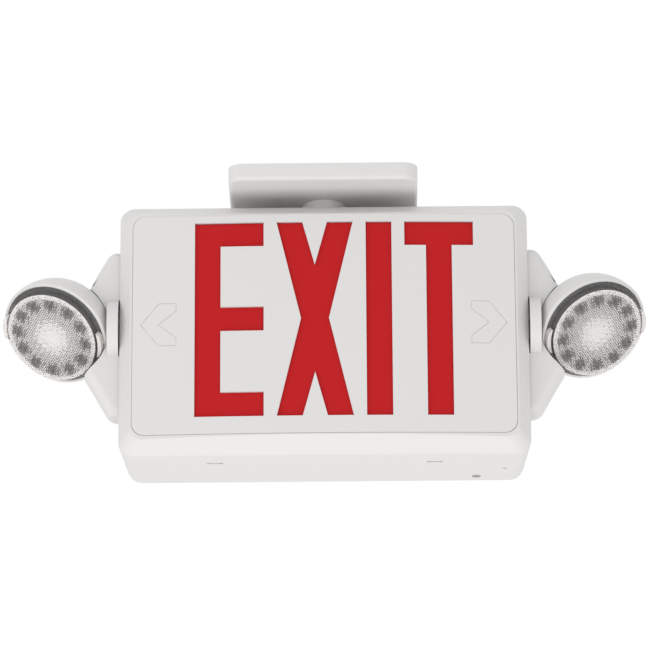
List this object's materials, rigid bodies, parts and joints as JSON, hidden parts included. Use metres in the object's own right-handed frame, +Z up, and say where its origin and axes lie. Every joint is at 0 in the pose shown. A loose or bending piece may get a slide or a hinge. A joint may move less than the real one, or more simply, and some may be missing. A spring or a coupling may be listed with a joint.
{
  "type": "emergency exit light",
  "caption": "White emergency exit light with a stencil legend, a ceiling canopy and two ball-headed lamps that swivel in side wings.",
  "frame": {"origin": "middle of the ceiling bar's top face, which lies in the plane of the canopy's rim and of the ceiling", "axes": "+X to the right of someone reading the sign, +Y away from the reader, +Z up towards the ceiling"},
  "size_m": [0.477, 0.112, 0.2173],
  "materials": {
    "housing": "fine satin white moulded plastic",
    "panel": "smooth matt white sheet",
    "red_diffuser": "translucent red sheet",
    "inner_white": "plain white moulding",
    "circuit_board": "green board with pale parts",
    "battery_sleeve": "shrink sleeve",
    "strap": "flexible white strip",
    "transformer_core": "varnished laminations",
    "switch_body": "black moulding",
    "status_lens": "clouded lens",
    "button": "grey moulding",
    "spring_steel": "plain spring steel",
    "zinc_plate": "zinc plated steel",
    "stem_nylon": "white nylon",
    "clear_lens": "clear polycarbonate with moulded prisms",
    "silver_reflector": "vacuum metallised plastic",
    "led_board": "white board with one pale yellow emitter"
  },
  "bodies": {
    "housing": {"front_cover": "housing", "face_panel": "panel", "red_diffuser": "red_diffuser", "light_box": "inner_white", "led_strip_upper": "circuit_board", "led_strip_lower": "circuit_board", "back_plate": "housing", "battery_pack": "battery_sleeve", "battery_strap": "strap", "transformer": "transformer_core", "control_board": "circuit_board", "test_switch": "switch_body", "status_lamp": "status_lens", "button_spring": "spring_steel", "canopy": "housing", "ceiling_bar": "zinc_plate", "hub_nipple": "zinc_plate", "canopy_locknut": "zinc_plate", "cover_locknut": "zinc_plate", "hub_collar": "housing", "left_wing": "housing", "left_wing_screws": "zinc_plate", "right_wing": "housing", "right_wing_screws": "zinc_plate"},
    "test_button": {"test_button": "button"},
    "left_swivel": {"left_swivel_stem": "stem_nylon", "left_swivel_spring": "spring_steel", "left_swivel_nut": "zinc_plate"},
    "left_head": {"left_lamp_cup": "housing", "left_lens": "clear_lens", "left_reflector": "silver_reflector", "left_led_board": "led_board"},
    "right_swivel": {"right_swivel_stem": "stem_nylon", "right_swivel_spring": "spring_steel", "right_swivel_nut": "zinc_plate"},
    "right_head": {"right_lamp_cup": "housing", "right_lens": "clear_lens", "right_reflector": "silver_reflector", "right_led_board": "led_board"}
  },
  "joints": [
    {"name": "left_tilt", "type": "hinge", "parent": "housing", "child": "left_swivel", "pos_m": [-0.1993, -0.00875, -0.1153], "axis": [1, 0, 0], "range_deg": [-75, 75]},
    {"name": "left_turn", "type": "hinge", "parent": "left_swivel", "child": "left_head", "pos_m": [-0.1993, -0.00875, -0.1153], "axis": [0, 0.7771, -0.6293], "range_deg": [-10, 30]},
    {"name": "right_tilt", "type": "hinge", "parent": "housing", "child": "right_swivel", "pos_m": [0.1993, -0.00875, -0.1153], "axis": [1, 0, 0], "range_deg": [-75, 75]},
    {"name": "right_turn", "type": "hinge", "parent": "right_swivel", "child": "right_head", "pos_m": [0.1993, -0.00875, -0.1153], "axis": [0, -0.7771, 0.6293], "range_deg": [-10, 30]},
    {"name": "button_push", "type": "slide", "parent": "housing", "child": "test_button", "axis": [0, 0, 1], "range_m": [0, 0.0012], "stiffness_N_per_m": 300, "deforming": ["button_spring"]}
  ]
}
